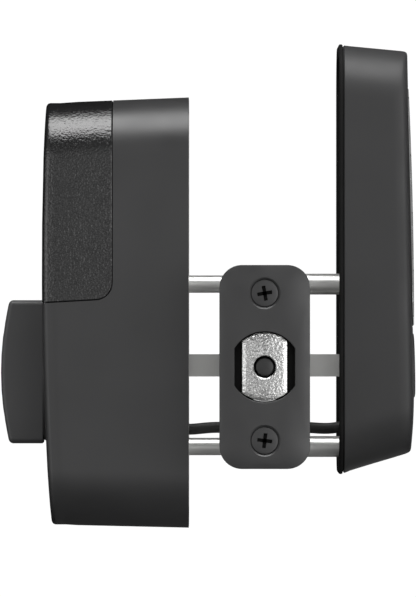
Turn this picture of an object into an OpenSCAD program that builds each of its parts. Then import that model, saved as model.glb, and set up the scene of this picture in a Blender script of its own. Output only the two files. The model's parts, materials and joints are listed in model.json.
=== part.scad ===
// Keypad smart lock: outside unit with push keys, tubular latch, inside unit with thumbturn.
// Frame: +Z up, +X towards the outside of the door, -Y towards the edge of the door.
// The origin is on the spindle, at the outside face of the door. Millimetres.

/* [Door] */
// Thickness of the door between the two units
door_thickness = 42.7; // [35:0.1:57]
// Distance from the edge of the door to the spindle
backset = 60; // [60:0.5:70]

/* [Outside unit] */
// Width of the outside unit
outer_width = 64; // [62:0.5:76]
// Height of the outside unit above the spindle
outer_top = 91.3; // [91:0.1:110]
// Height of the outside unit below the spindle
outer_bottom = 30.55; // [29.8:0.05:40]
// Corner radius of the outside unit
outer_corner = 14.5; // [6:0.5:18]
// Depth of the outside housing at its edges
outer_depth = 20.6; // [20:0.1:26]
// How far the middle of the outside housing stands above its edges
front_crown = 1.15; // [0.2:0.05:2]
// Lean of the front of the outside unit, in degrees
face_lean = 1.15; // [0:0.05:3]
// Thickness of the rubber seal
seal = 1.1; // [0.6:0.1:2]

/* [Keypad] */
// Width of the keypad panel
lens_width = 54; // [52:0.5:58]
// Height of the keypad panel
lens_height = 68; // [67:0.5:74]
// Corner radius of the keypad panel
lens_corner = 9; // [4:0.5:12]
// How far the middle of the panel stands above the housing
lens_crown = 1.65; // [0.8:0.05:3]
// How far the edge of the panel stands above the housing
lens_edge = 0.6; // [0.2:0.1:1]
// Width of a key
key_width = 14; // [12:0.5:14.5]
// Height of a key
key_height = 13; // [11:0.5:13.5]
// Distance between key columns
key_pitch_y = 17; // [16:0.1:17.2]
// Distance between key rows
key_pitch_z = 16.4; // [16:0.1:16.6]

/* [Key cylinder] */
// Radius of the cylinder body
cylinder_radius = 9.5; // [8:0.1:10]
// How far the cylinder face stands from the door
cylinder_face = 22.2; // [21.5:0.1:26]
// Radius of the turning plug
plug_radius = 6; // [5:0.1:6.5]

/* [Latch] */
// Width of the face plate
face_width = 25.4; // [22:0.1:28.6]
// Height of the face plate
face_height = 57.15; // [56:0.05:60]
// Corner radius of the face plate
face_corner = 6.35; // [0.5:0.05:12]
// Thickness of the face plate
face_thickness = 1.6; // [1:0.1:2.4]
// Width of the bolt
bolt_width = 12.7; // [11:0.1:13]
// Height of the bolt
bolt_height = 19.05; // [16:0.05:19.6]
// Travel of the bolt
bolt_throw = 25.4; // [20:0.1:25.4]
// Radius of the latch tube
tube_radius = 12.2; // [11.8:0.1:12.6]

/* [Inside unit] */
// Width of the inside unit
inner_width = 70; // [68:0.5:80]
// Height of the inside unit above the spindle
inner_top = 76.45; // [76:0.05:90]
// Height of the inside unit below the spindle
inner_bottom = 46.1; // [42:0.1:60]
// Depth of the inside unit from the door
inner_depth = 41.6; // [41:0.1:50]
// Corner radius of the inside unit
inner_corner = 16; // [12:0.5:18]
// Distance from the door to the seam of the battery cover
cover_seam = 21.5; // [20:0.1:22]
// Height of the lower seam of the battery cover above the spindle
cover_foot = 17.8; // [17:0.1:20]
// Radius of one cell
cell_radius = 7.05; // [6.8:0.05:7.1]

/* [Thumbturn] */
// Length of the thumbturn
turn_length = 41; // [34:0.5:46]
// Width of the thumbturn
turn_width = 15; // [13:0.5:20]
// Furthest point of the thumbturn from the door
turn_reach = 53.8; // [50:0.1:60]
// How far the middle of the thumbturn lies below the spindle
turn_drop = 1.8; // [0:0.1:3]

/* [Hidden] */
$fn = 96;

half_w = outer_width / 2;
half_lens = lens_width / 2;
wall = 2.5;
front_wall = 2.4;
lens_z = 50.3;
latch_x = -door_thickness / 2;
edge_y = -backset;
post_z = 23.3;
cable_y = 13;
cable_z = -18;
inside = -door_thickness;
front_x = inside - inner_depth;
seam_x = inside - cover_seam;
tip_x = inside - turn_reach;
crank = bolt_throw / sqrt(2);
pin_y = bolt_throw / 2;
cell_pitch = 14.4;
bay_z = cover_foot - 18.5;
idler_y = -19;
idler_z = -12.6;
pinion_y = -14.28;
pinion_z = -25.57;

// Flat shapes and rods laid along each axis.
module rounded(u0, u1, v0, v1, r) {
    translate([u0 + r, v0]) square([u1 - u0 - 2 * r, v1 - v0]);
    translate([u0, v0 + r]) square([u1 - u0, v1 - v0 - 2 * r]);
    for (u = [u0 + r, u1 - r], v = [v0 + r, v1 - r]) translate([u, v]) circle(r);
}

module along_x(x0, x1) translate([x0, 0, 0]) rotate([90, 0, 90]) linear_extrude(x1 - x0) children();

module along_y(y0, y1) translate([0, y1, 0]) rotate([90, 0, 0]) linear_extrude(y1 - y0) children();

module plate_x(x0, x1, y0, y1, z0, z1, r) along_x(x0, x1) rounded(y0, y1, z0, z1, r);

module rod_x(x0, x1, r, y = 0, z = 0, r2 = 0)
    translate([x0, y, z]) rotate([0, 90, 0]) cylinder(h = x1 - x0, r1 = r, r2 = r2 > 0 ? r2 : r);

module rod_y(y0, y1, r, x = 0, z = 0, r2 = 0)
    translate([x, y0, z]) rotate([-90, 0, 0]) cylinder(h = y1 - y0, r1 = r, r2 = r2 > 0 ? r2 : r);

module rod_z(z0, z1, r, x = 0, y = 0)
    translate([x, y, z0]) cylinder(h = z1 - z0, r = r);

module block(x0, x1, y0, y1, z0, z1) translate([x0, y0, z0]) cube([x1 - x0, y1 - y0, z1 - z0]);

// The leaning front of the outside unit: local x out of the face, local z up along it.
module on_face() translate([outer_depth, 0, -5]) rotate([0, -face_lean, 0]) children();

// A tube through round points, for cords and springs.
function unit(v) = v / norm(v);
function way(p, i) = unit(p[min(i + 1, len(p) - 1)] - p[max(i - 1, 0)]);
function side(t) = unit(cross(t, abs(t[2]) < 0.9 ? [0, 0, 1] : [0, 1, 0]));
function frames(p) = [for (i = 0, t = way(p, 0), a = side(t); i < len(p);
    i = i + 1, t = way(p, min(i, len(p) - 1)), a = unit(a - (a * t) * t)) a];
function ring(c, t, a, r, n) = let(b = cross(t, a))
    [for (k = [0:n - 1]) c + r * cos(360 * k / n) * a + r * sin(360 * k / n) * b];
function curve(p, i, s) = let(a = p[max(i - 1, 0)], b = p[i], c = p[i + 1],
    d = p[min(i + 2, len(p) - 1)])
    0.5 * (2 * b + (c - a) * s + (2 * a - 5 * b + 4 * c - d) * s * s
    + (3 * b - a - 3 * c + d) * s * s * s);
function smooth(p, m) = concat([for (i = [0:len(p) - 2], k = [0:m - 1]) curve(p, i, k / m)],
    [p[len(p) - 1]]);

module tube(p, r, n) {
    last = (len(p) - 1) * n;
    f = frames(p);
    polyhedron(
        points = [for (i = [0:len(p) - 1]) each ring(p[i], way(p, i), f[i], r, n)],
        faces = concat(
            [[for (k = [0:n - 1]) k]],
            [[for (k = [0:n - 1]) last + n - 1 - k]],
            [for (i = [0:len(p) - 2], k = [0:n - 1])
                [i * n + k, (i + 1) * n + k, (i + 1) * n + (k + 1) % n, i * n + (k + 1) % n]]));
}

// A spur gear outline about the origin, with one tooth along angle a0.
module gear(teeth, m, a0) {
    rp = teeth * m / 2;
    rt = rp + 0.9 * m;
    rr = rp - 1.2 * m;
    half = 90 / teeth - 5 / rp;
    polygon([for (i = [0:teeth - 1], p = [
        [rr, -half * 1.7], [rp, -half], [rt, -half * 0.45], [rt, half * 0.45], [rp, half],
        [rr, half * 1.7]])
        let(a = a0 + 360 * i / teeth + p[1]) [p[0] * cos(a), p[0] * sin(a)]]);
}

// ---------------------------------------------------------------- outside unit

// Plan of the outside housing, with its crowned front drawn in by f.
module front_plan(f) polygon(concat([[-30, -half_w], [-1.6 - f, -half_w]],
    [for (k = [0:12]) let(y = (half_w - 1.6) * (k / 6 - 1))
        [front_crown * (1 - pow(y / half_w, 2)) - f, y]],
    [[-1.6 - f, half_w], [-30, half_w]]));

module outer_form(i, x0) {
    f = i > 0 ? front_wall : 0;
    intersection() {
        plate_x(x0, outer_depth + 4, -half_w + i, half_w - i, -outer_bottom + i, outer_top - i,
            outer_corner - i);
        along_y(-half_w, half_w) polygon([[0, -outer_bottom - 0.35 + i],
            [outer_depth - 1.8, -outer_bottom + 5.65 + i], [outer_depth + 3, -outer_bottom + 9.8 + i],
            [outer_depth + 3, outer_top - 5.4 - i], [outer_depth - 3.2, outer_top - 1.65 - i],
            [0, outer_top + 0.1 - i]]);
        on_face() translate([0, 0, -40]) linear_extrude(160) front_plan(f);
        translate([outer_depth + 0.1, 0, -8]) rotate([0, 3.6, 0]) translate([0, 0, -40])
            linear_extrude(160) front_plan(f);
    }
}

module boss_places() for (p = [[-22, -18.6], [22, -18.6], [-19, outer_top - 7.7],
    [19, outer_top - 7.7]]) translate([0, p[0], p[1]]) children();

module outer_seal() color([0.08, 0.08, 0.08]) difference() {
    plate_x(0, seal, -half_w - 0.2, half_w + 0.2, -outer_bottom - 0.3, outer_top + 0.3,
        outer_corner);
    plate_x(-1, seal + 1, -half_w + 3.6, half_w - 3.6, -outer_bottom + 2.9, outer_top - 3.6,
        outer_corner - 3.6);
}

module outer_back_plate() color([0.62, 0.64, 0.66]) difference() {
    union() {
        plate_x(seal + 0.2, seal + 2.2, -half_w + 3, half_w - 3, -outer_bottom + 3.9,
            outer_top - 3.4, outer_corner - 3);
        for (z = [-post_z, post_z]) rod_x(-14, seal + 1, 3, 0, z);
    }
    for (z = [-post_z, post_z]) rod_x(-15, 0, 2.55, 0, z);
    rod_x(0, 5, 8.2);
    rod_x(0, 5, 3.4, cable_y, cable_z);
    for (y = [-11.2, 11.2]) {
        rod_x(0, 5, 1.55, y, 0);
        rod_x(seal + 0.2, seal + 1.5, 2.7, y, 0, 1.55);
    }
    boss_places() {
        rod_x(0, 5, 1.6);
        rod_x(seal + 0.2, seal + 1.5, 2.8, 0, 0, 1.6);
    }
}

module outer_plate_screws() color([0.5, 0.51, 0.52]) boss_places() difference() {
    union() {
        rod_x(seal + 0.3, seal + 1.5, 2.6, 0, 0, 1.4);
        rod_x(seal + 1.3, 11, 1.25);
    }
    for (a = [0, 90]) rotate([a, 0, 0]) block(seal, seal + 1, -1.5, 1.5, -0.35, 0.35);
}

module outer_housing() color([0.11, 0.11, 0.12]) difference() {
    union() {
        difference() {
            outer_form(0, seal);
            outer_form(wall, -1);
        }
        intersection() {
            outer_form(1, seal);
            boss_places() rod_x(seal + 2.3, outer_depth, 2.8);
        }
    }
    boss_places() rod_x(-1, 12.5, 1.3);
    on_face() plate_x(-10, 10, -lens_width / 2 - 0.3, lens_width / 2 + 0.3,
        lens_z - lens_height / 2 - 0.3, lens_z + lens_height / 2 + 0.3, lens_corner + 0.3);
    rod_x(5, outer_depth + 5, cylinder_radius + 0.25);
}

// ---------------------------------------------------------------- keypad

// The crowned skin of the panel, raised by d, cut back to x0 and cut to the width y0 to y1.
function crown_x(y) = lens_crown - (lens_crown - lens_edge) * pow(2 * y / lens_width, 2);

module crowned(x0, d, y0, y1, n) {
    intersection() {
        children();
        translate([0, 0, lens_z - 60]) linear_extrude(120) polygon(concat([[x0, y1], [x0, y0]],
            [for (i = [0:n]) let(y = y0 + (y1 - y0) * i / n) [crown_x(y) + d, y]]));
    }
}

module key_outline(grow, r) rounded(-key_width / 2 - grow, key_width / 2 + grow,
    -key_height / 2 - grow, key_height / 2 + grow, r);

module key_places() for (c = [-1:1], k = [0:3])
    translate([0, c * key_pitch_y, lens_z + (1.5 - k) * key_pitch_z]) children();

module lens_posts() for (y = [-key_pitch_y / 2, key_pitch_y / 2],
    z = [lens_z - key_pitch_z, lens_z + key_pitch_z]) translate([0, y, z]) children();

module keypad_lens() color([0.03, 0.03, 0.035]) on_face() difference() {
    union() {
        crowned(-4.6, 0, -half_lens, half_lens, 12) plate_x(-4.7, 4, -half_lens, half_lens,
            lens_z - lens_height / 2, lens_z + lens_height / 2, lens_corner);
        plate_x(-4.6, -2.8, -lens_width / 2 - 1.6, lens_width / 2 + 1.6,
            lens_z - lens_height / 2 - 1.4, lens_z + lens_height / 2 + 1.4, lens_corner + 1.4);
    }
    difference() {
        plate_x(-6, -1.2, -lens_width / 2 + 1.6, lens_width / 2 - 1.6,
            lens_z - lens_height / 2 + 1.4, lens_z + lens_height / 2 - 1.4, lens_corner - 3.8);
        lens_posts() rod_x(-7.5, 0, 1.8);
    }
    key_places() along_x(-3, 4) key_outline(0.25, 2.75);
    lens_posts() rod_x(-8, -2.2, 0.85);
}

module key_cap(c, k) color([0.05, 0.05, 0.055]) on_face() {
    y = c * key_pitch_y;
    z = lens_z + (1.5 - k) * key_pitch_z;
    union() {
        crowned(-2.5, 0, y - key_width / 2, y + key_width / 2, 4) translate([0, y, z])
            along_x(-2.6, 4) key_outline(0, 2.5);
        translate([0, y, z]) along_x(-2.6, -1.5) key_outline(0.6, 3);
        rod_x(-4, -2, 2, y, z);
    }
}

module key_1() key_cap(-1, 0);
module key_2() key_cap(0, 0);
module key_3() key_cap(1, 0);
module key_4() key_cap(-1, 1);
module key_5() key_cap(0, 1);
module key_6() key_cap(1, 1);
module key_7() key_cap(-1, 2);
module key_8() key_cap(0, 2);
module key_9() key_cap(1, 2);
module key_lock() key_cap(-1, 3);
module key_0() key_cap(0, 3);
module key_enter() key_cap(1, 3);

module keypad_mat() color([0.75, 0.76, 0.78]) on_face() difference() {
    union() {
        plate_x(-6.1, -5.1, -24.8, 24.8, lens_z - 32.4, lens_z + 32.4, 6);
        key_places() rod_x(-5.2, -4.3, 3.9, 0, 0, 3);
    }
    lens_posts() rod_x(-7, -4, 2.1);
    key_places() rod_x(-6.2, -5.2, 2.9);
}

module keypad_board() color([0.05, 0.28, 0.14]) on_face() difference() {
    union() {
        plate_x(-7.8, -6.2, -24.8, 24.8, lens_z - 33, lens_z + 33, 3);
        block(-9.2, -7.7, -8, 2, lens_z - 12, lens_z - 2);
        block(-8.8, -7.7, 10, 18, lens_z + 4, lens_z + 9);
        block(-8.6, -7.7, -18, -12, lens_z + 20, lens_z + 26);
        for (z = [8:4:20]) block(-8.4, -7.7, 4, 6.4, lens_z + z, lens_z + z + 1.4);
    }
    lens_posts() rod_x(-9, -6, 1.1);
}

module board_screw() difference() {
    union() {
        rod_x(-1.3, 0, 1.9);
        rod_x(-0.2, 4.4, 0.8);
    }
    for (a = [0, 90]) rotate([a, 0, 0]) block(-2, -0.6, -1.2, 1.2, -0.25, 0.25);
}

module board_screws() color([0.6, 0.61, 0.62]) {
    on_face() lens_posts() translate([-7.85, 0, 0]) board_screw();
    for (y = [-17, 17], z = [34, 65]) translate([inside - 15.35, y, z]) board_screw();
}

// ---------------------------------------------------------------- key cylinder

pin_places = [7, 9.3, 11.6, 13.9, 16.2];

module cylinder_shell() color([0.55, 0.55, 0.56]) difference() {
    union() {
        rod_x(seal + 2.3, seal + 4.3, 14);
        rod_x(seal + 4, cylinder_face - 0.8, cylinder_radius);
        rod_x(cylinder_face - 0.8, cylinder_face, cylinder_radius, 0, 0, cylinder_radius - 0.8);
        block(seal + 4, 17.6, -3.4, 3.4, -15.6, 0);
    }
    rod_x(0, cylinder_face + 1, plug_radius + 0.05);
    rod_x(cylinder_face - 1.35, cylinder_face + 1, plug_radius + 0.65);
    for (x = pin_places) rod_z(-15, 0, 0.95, x, 0);
    for (y = [-11.2, 11.2]) rod_x(0, 8, 1.3, y, 0);
    translate([cylinder_face, 0, -cylinder_radius]) rotate([0, -face_lean, 0])
        block(0, 3, -15, 15, -20, 40);
}

module cylinder_plug() color([0.78, 0.66, 0.36]) difference() {
    union() {
        rod_x(seal + 2.4, cylinder_face - 0.5, plug_radius);
        rod_x(cylinder_face - 1.3, cylinder_face - 0.5, plug_radius + 0.6);
        rod_x(1, seal + 3, 1.2, 0, -4.6);
    }
    block(5.6, cylinder_face + 1, -0.9, 0.9, -3.2, 4.2);
    for (x = pin_places) rod_z(-7, 0, 0.95, x, 0);
}

module key_pins() color([0.8, 0.68, 0.38]) for (i = [0:4])
    rod_z(-5.9, -2.9 + 0.35 * ((i * 3) % 5), 0.9, pin_places[i], 0);

module driver_pins() color([0.7, 0.7, 0.68]) for (i = [0:4]) {
    rod_z(-9.6, -6.15, 0.9, pin_places[i], 0);
    rod_z(-15, -9.7, 0.45, pin_places[i], 0);
}

module cylinder_screws() color([0.5, 0.51, 0.52]) for (y = [-11.2, 11.2]) translate([0, y, 0])
    difference() {
        union() {
            rod_x(seal + 0.3, seal + 1.5, 2.5, 0, 0, 1.35);
            rod_x(seal + 1.4, seal + 4.2, 1.25);
        }
        for (a = [0, 90]) rotate([a, 0, 0]) block(seal, seal + 0.9, -1.4, 1.4, -0.3, 0.3);
    }

// ---------------------------------------------------------------- through the door

module tailpiece() color([0.66, 0.67, 0.68]) union() {
    difference() {
        rod_x(0.9, 3.2, 7.6);
        rotate([0, 0, 90]) rotate([90, 0, 0]) rotate([0, 0, -198]) rotate_extrude(angle = 216)
            translate([3.1, 0.5]) square([3, 3]);
    }
    block(inside - 16, 1, -1.2, 1.2, -3.2, 3.2);
}

module through_bolts() color([0.6, 0.61, 0.62]) for (z = [-post_z, post_z]) translate([0, 0, z])
    difference() {
        union() {
            rod_x(inside - 4.8, inside - 2.05, 4.5);
            rod_x(inside - 2.1, -3, 2.5);
        }
        translate([inside - 5, 0, 0]) rotate([0, 90, 0]) cylinder(h = 2, r = 2.3, $fn = 6);
    }

cable_path = smooth([[10.6, 17, 13.1], [10.45, 17, 8], [9.8, 17, 0], [8.6, 16, -9], [5.4, 13.8, -16],
    [0, cable_y, cable_z], [-10, cable_y, cable_z], [inside + 8, cable_y, cable_z],
    [inside - 4, 13.6, cable_z], [inside - 8, 19, -14.5], [inside - 9.4, 25, -7],
    [inside - 9.6, 27, 2], [inside - 10, 26, 11], [inside - 11, 20.6, 16.2], [inside - 11.8, 17.6, 18.6],
    [inside - 12, 17.05, 21.05]], 3);

module link_cable() color([0.07, 0.07, 0.08]) tube(cable_path, 1.6, 8);

module link_plugs() color([0.85, 0.84, 0.8]) {
    block(8.6, 11.9, 13.6, 20.4, 13.2, 18.4);
    block(inside - 13.6, inside - 10.2, 13.6, 20.4, 21.2, 26.4);
}

// ---------------------------------------------------------------- latch

module bolt_outline(grow) intersection() {
    circle(bolt_height / 2 + grow);
    square([bolt_width + 2 * grow, bolt_height + 4], center = true);
}

face_screw_z = 20.65;

module face_plate() color([0.1, 0.1, 0.105]) difference() {
    along_y(edge_y, edge_y + face_thickness) translate([latch_x, 0])
        rounded(-face_width / 2, face_width / 2, -face_height / 2, face_height / 2, face_corner);
    along_y(edge_y - 1, edge_y + face_thickness + 1) translate([latch_x, 0]) intersection() {
        circle(9.95);
        square([17, 30], center = true);
    }
    for (z = [-face_screw_z, face_screw_z]) {
        rod_y(edge_y - 1, edge_y + 0.35, 4.28, latch_x, z);
        rod_y(edge_y + 0.34, edge_y + 1.74, 4.28, latch_x, z, 2.6);
    }
}

module latch_backing_plate() color([0.3, 0.3, 0.31]) difference() {
    along_y(edge_y + face_thickness + 0.1, edge_y + face_thickness + 2) translate([latch_x, 0])
        rounded(-face_width / 2 + 0.4, face_width / 2 - 0.4, -face_height / 2 + 0.4,
        face_height / 2 - 0.4, face_corner - 0.4);
    along_y(edge_y, edge_y + 6) translate([latch_x, 0]) bolt_outline(0.12);
    for (z = [-face_screw_z, face_screw_z]) rod_y(edge_y, edge_y + 6, 2.7, latch_x, z);
}

tube_front = edge_y + face_thickness + 2.05;

module latch_tube() color([0.72, 0.73, 0.74]) difference() {
    rod_y(tube_front, -18, tube_radius, latch_x);
    rod_y(tube_front - 1, -16, 10.6, latch_x);
}

module bolt() color([0.74, 0.75, 0.76]) difference() {
    union() {
        along_y(edge_y + 0.7, -24) translate([latch_x, 0]) bolt_outline(0);
        along_y(edge_y - 0.1, edge_y + 0.8) translate([latch_x, 0]) bolt_outline(-0.8);
    }
    rod_y(edge_y - 1, edge_y + 26, 3, latch_x);
    block(latch_x - 0.7, latch_x + 2.6, -30.2, -23, -3.2, 10);
}

module bolt_pin() color([0.22, 0.22, 0.23]) union() {
    rod_y(edge_y + 0.3, edge_y + 24, 2.95, latch_x);
    rod_y(edge_y - 0.1, edge_y + 0.3, 2.5, latch_x, 0, 2.95);
}

module bolt_bar() color([0.7, 0.71, 0.72]) union() {
    block(latch_x - 0.55, latch_x + 2.45, -30, -24.4, -3, 9);
    block(latch_x - 0.55, latch_x + 2.45, -24.6, pin_y + 4.8, 6.5, 9);
    block(latch_x - 0.55, latch_x + 2.45, pin_y - 4.8, pin_y - 2.6, 8.9, 19.8);
    block(latch_x - 0.55, latch_x + 2.45, pin_y + 2.6, pin_y + 4.8, 8.9, 19.8);
}

module latch_cage() color([0.68, 0.69, 0.7]) difference() {
    union() {
        for (s = [-1, 1]) {
            translate([latch_x + s * 6.9, 0, 0]) block(-0.5, 0.5, -16.9, 20, -9.6, 9.6);
            translate([latch_x + s * 6.9, 0, 0]) block(-0.5, 0.5, -26, -16.8, -7.2, 7.2);
        }
        block(latch_x - 7.4, latch_x + 7.4, -16.9, 20, -9.6, -8.7);
        block(latch_x - 7.4, latch_x + 7.4, 19, 20, -9.6, 9.6);
    }
    rod_x(latch_x - 9, latch_x + 9, 5.25);
}

module latch_cam() color([0.6, 0.6, 0.58]) difference() {
    union() {
        rod_x(latch_x - 6.2, latch_x + 6.2, 5.8);
        rod_x(latch_x - 7.6, latch_x + 7.6, 5.2);
        along_x(latch_x - 3.25, latch_x - 1.05) rotate(45) {
            translate([0, -2.2]) square([crank, 4.4]);
            translate([crank, 0]) circle(2.2);
        }
        rod_x(latch_x - 2, latch_x + 2.7, 1.9, pin_y, pin_y);
    }
    block(latch_x - 9, latch_x + 9, -1.3, 1.3, -3.3, 3.3);
}

module detent_spring() color([0.75, 0.76, 0.78]) along_x(latch_x + 1, latch_x + 5) polygon([
    [-14, -8.6], [-11, -8.6], [-5, -6.5], [5, -6.5], [11, -8.6], [14, -8.6], [14, -8.3],
    [11.1, -8.3], [5.1, -6.2], [-5.1, -6.2], [-11.1, -8.3], [-14, -8.3]]);

module face_screws() color([0.07, 0.07, 0.075]) for (z = [-face_screw_z, face_screw_z])
    difference() {
        union() {
            rod_y(edge_y + 0.1, edge_y + 0.35, 4.15, latch_x, z);
            rod_y(edge_y + 0.3, edge_y + 2, 4.15, latch_x, z, 2.1);
            rod_y(edge_y + 1.9, edge_y + 4, 1.7, latch_x, z);
            rod_y(edge_y + 3.9, edge_y + 17, 2.1, latch_x, z);
            rod_y(edge_y + 16.9, edge_y + 20, 2.1, latch_x, z, 0.3);
        }
        translate([latch_x, edge_y, z]) for (a = [0, 90]) rotate([0, a + (z > 0 ? -15 : 15), 0])
            block(-2.5, 2.5, -1, 1.2, -0.5, 0.5);
    }

// ---------------------------------------------------------------- inside unit

module inner_form(i, x1) {
    intersection() {
        plate_x(front_x - 2, x1, -inner_width / 2 + i, inner_width / 2 - i, -inner_bottom + i,
            inner_top - i, inner_corner - i);
        along_y(-60, 60) polygon([[x1 + 1, -inner_bottom - 0.03 + i],
            [front_x + 3.4, -inner_bottom + 0.95 + i], [front_x + 0.6 + i, -inner_bottom + 3.4 + i],
            [front_x + i, -inner_bottom + 8 + i], [front_x + i, inner_top - 5 - i],
            [front_x + 2.6, inner_top - 1.65 - i], [x1 + 1, inner_top - i]]);
        along_y(-60, 60) translate([front_x + 1040, 28]) circle(1040 - i, $fn = 256);
        translate([0, 0, -100]) linear_extrude(300) polygon([[x1 + 1, -60], [x1 + 1, 60],
            [front_x + 5, 60], [front_x + 5, inner_width / 2 - i],
            [front_x + 2.5, inner_width / 2 - 0.4 - i],
            [front_x + 0.6, inner_width / 2 - 2.4 - i], [front_x, inner_width / 2 - 5 - i],
            [front_x, -inner_width / 2 + 5 + i], [front_x + 0.6, -inner_width / 2 + 2.4 + i],
            [front_x + 2.5, -inner_width / 2 + 0.4 + i], [front_x + 5, -inner_width / 2 + i],
            [front_x + 5, -60]]);
    }
}

// The side view of the space that the battery cover fills, drawn in by g.
module cover_side(g) {
    r = 5 - g;
    x = seam_x - g;
    z = cover_foot + g;
    translate([x - 60, z]) square([60 - r, 100]);
    translate([x - 60, z + r]) square([60, 100]);
    translate([x - r, z + r]) circle(r);
}

deck_screws = [[-25.5, 30], [25.5, 30], [-25.5, 60], [25.5, 60]];
gear_posts = [[-28.2, -27.5], [8, -31], [-24, 9.4]];

module inner_plate() color([0.62, 0.64, 0.66]) difference() {
    union() {
        plate_x(inside - 2, inside, -30, 30, -40, 72, 12);
        for (p = deck_screws) rod_x(inside - 17.3, inside - 1, 3, p[0], p[1]);
        for (y = [-17, 17], z = [34, 65]) rod_x(inside - 13.6, inside - 1, 2.2, y, z);
        rod_x(inside - 5.5, inside - 1, 3, idler_y, idler_z);
    }
    rod_x(inside - 5, inside + 1, 7.2);
    for (z = [-post_z, post_z]) rod_x(inside - 5, inside + 1, 2.6, 0, z);
    rod_x(inside - 5, inside + 1, 3.4, cable_y, cable_z);
    for (p = deck_screws) rod_x(inside - 18, inside - 8, 1.3, p[0], p[1]);
    for (y = [-17, 17], z = [34, 65]) rod_x(inside - 14, inside - 8, 0.85, y, z);
    rod_x(inside - 6, inside - 3, 1.47, idler_y, idler_z);
    for (p = gear_posts) rod_x(inside - 3, inside + 1, 1.6, p[0], p[1]);
}

module inner_housing() color([0.11, 0.11, 0.12]) difference() {
    union() {
        difference() {
            union() {
                inner_form(0, inside);
                rod_x(front_x, front_x + 3, turn_length / 2 + 1);
            }
            difference() {
                inner_form(2.2, inside + 1);
                along_y(-60, 60) cover_side(-1.8);
            }
            along_y(-60, 60) cover_side(0);
        }
        for (s = [-1, 1]) block(seam_x - 16, seam_x - 4.6, s * 30.8 - 0.4, s * 30.8 + 0.4,
            cover_foot - 1, cover_foot + 1.3);
        for (s = [-1, 1]) {
            translate([seam_x, s * 30.8, 0]) block(-3, 0.1, -0.5, 0.5, 26, 56);
            translate([seam_x, s * 31.3, 0]) block(-3, -2, -1, 1, 26, 56);
        }
        for (p = deck_screws) rod_x(seam_x + 1, seam_x + 4, 3, p[0], p[1]);
    }
    for (p = deck_screws) {
        rod_x(seam_x - 1, seam_x + 5, 1.6, p[0], p[1]);
        rod_x(seam_x - 0.1, seam_x + 1.4, 2.8, p[0], p[1], 1.6);
    }
    rod_x(front_x - 2, front_x + 6, 8);
}

module housing_screws() color([0.5, 0.51, 0.52]) for (p = deck_screws)
    translate([seam_x, p[0], p[1]]) difference() {
        union() {
            rod_x(0.1, 1.4, 2.6, 0, 0, 1.4);
            rod_x(1.3, 13, 1.25);
        }
        for (a = [0, 90]) rotate([a, 0, 0]) block(-1, 0.9, -1.5, 1.5, -0.35, 0.35);
    }

module battery_cover() color([0.09, 0.09, 0.095]) {
    difference() {
        intersection() {
            inner_form(0, inside);
            along_y(-60, 60) cover_side(0.25);
        }
        inner_form(1.8, inside + 1);
    }
    for (s = [-1, 1]) translate([seam_x, s * 32.5, 0]) block(-1.75, -0.6, -0.75, 0.9, 26, 56);
}

module battery_tray() color([0.07, 0.07, 0.075]) difference() {
    intersection() {
        along_y(-60, 60) cover_side(0.2);
        translate([0, 0, bay_z]) union() {
            plate_x(seam_x - 1.9, seam_x, -29.4, 29.4, 18, 73.8, 12);
            block(seam_x - 13, seam_x, -28, 28, 18, 19.8);
            block(seam_x - 10, seam_x, -24.4, 24.4, 72.6, 73.8);
            for (i = [-1:1]) block(seam_x - 5, seam_x, i * cell_pitch - 0.4,
                i * cell_pitch + 0.4, 19, 73);
            for (s = [-1, 1]) translate([0, s * 29.1, 0])
                block(seam_x - 9, seam_x, -0.35, 0.35, 25, 60);
        }
    }
    for (i = [-1.5:1.5]) rod_z(bay_z + 21, bay_z + 72, cell_radius + 0.15, seam_x - 9.5,
        i * cell_pitch);
}

module batteries() color([0.72, 0.53, 0.2]) for (i = [0:3]) {
    up = i % 2;
    translate([seam_x - 9.5, (i - 1.5) * cell_pitch, bay_z + (up ? 22.1 : 70.3)])
        mirror([0, 0, 1 - up]) {
        rod_z(0, 49, cell_radius);
        rod_z(48.9, 50.2, 2.7);
    }
}

// A conical contact spring standing on z = 0, pointing up.
module contact_spring() tube([for (i = [0:30])
    let(a = i * 30, r = 4.6 - 2.2 * i / 30) [r * cos(a), r * sin(a), 0.15 + 1.6 * i / 30]], 0.25, 6);

module battery_contacts() color([0.8, 0.8, 0.78]) translate([0, 0, bay_z]) for (i = [0:3]) {
    up = i % 2;
    y = (i - 1.5) * cell_pitch;
    x = seam_x - 9.5;
    block(x - 2.6, x + 4.4, y - 5.2, y + 5.2, 19.8, 20.1);
    block(x - 0.4, x + 4.4, y < 0 ? y - (i > 0 ? 5.2 : 2.6) : y - 5.2,
        y > 0 ? y + (i < 3 ? 5.2 : 2.6) : y + 5.2, 72.3, 72.6);
    translate([x, y, up ? 20 : 72.4]) mirror([0, 0, 1 - up]) contact_spring();
}

module control_board() color([0.05, 0.28, 0.14]) difference() {
    union() {
        plate_x(inside - 15.3, inside - 13.7, -21, 21, 20.5, 70, 2);
        block(inside - 13.8, inside - 12.4, -8, 2, 48, 58);
        block(inside - 13.8, inside - 11.2, -12, -4, 24, 30);
        block(inside - 16.8, inside - 15.2, -13.6, -6, 30, 38);
        for (z = [40, 44, 48]) block(inside - 14, inside - 12.8, 8, 11, z, z + 1.6);
        rod_x(inside - 13.8, inside - 8.8, 3, 13, 60);
    }
    for (y = [-17, 17], z = [34, 65]) rod_x(inside - 16, inside - 13, 1.1, y, z);
}

module radio_module() color([0.7, 0.71, 0.72]) union() {
    block(inside - 16.2, inside - 15.35, -9, 9, 44, 68);
    block(inside - 17.9, inside - 16.1, -8, 8, 45, 61);
}

module position_sensor() color([0.16, 0.16, 0.17]) union() {
    block(inside - 13.65, inside - 10.6, -3, 3, 21.6, 26.4);
    rod_x(inside - 10.7, inside - 9.9, 1.2, 0, 23.4);
}

// ---------------------------------------------------------------- gear train

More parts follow.
